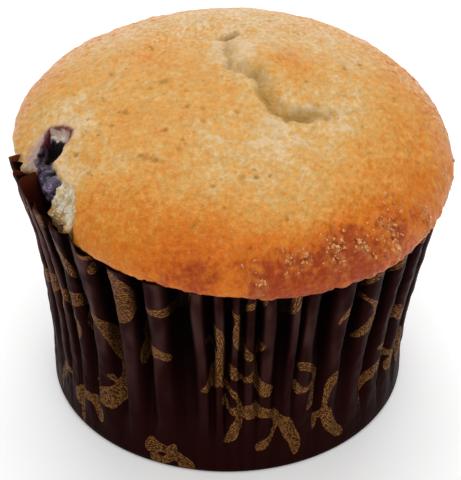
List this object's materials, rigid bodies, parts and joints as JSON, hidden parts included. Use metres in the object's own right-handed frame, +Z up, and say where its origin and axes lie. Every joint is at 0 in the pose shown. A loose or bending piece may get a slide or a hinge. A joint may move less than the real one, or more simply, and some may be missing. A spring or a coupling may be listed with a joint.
{
  "type": "blueberry muffin in a paper case",
  "caption": "Domed bakery muffin with a cracked golden crust, a torn side that shows a burst blueberry, and a fluted brown paper case.",
  "frame": {"origin": "centre of the flat foot of the paper case, on the surface that it stands on", "axes": "+Z up through the crown, -Y towards the front, +X to the right as seen from the front"},
  "size_m": [0.0746, 0.0749, 0.0593],
  "materials": {
    "crust": "baked crust, golden with browner rim, slightly glossy",
    "berry_skin": "wet dark purple berry skin with a pale bloom",
    "brown_paper": "satin greaseproof paper, dark brown with gold print"
  },
  "bodies": {
    "root": {"cake": "crust", "blueberry": "berry_skin", "paper_case": "brown_paper"}
  },
  "joints": []
}
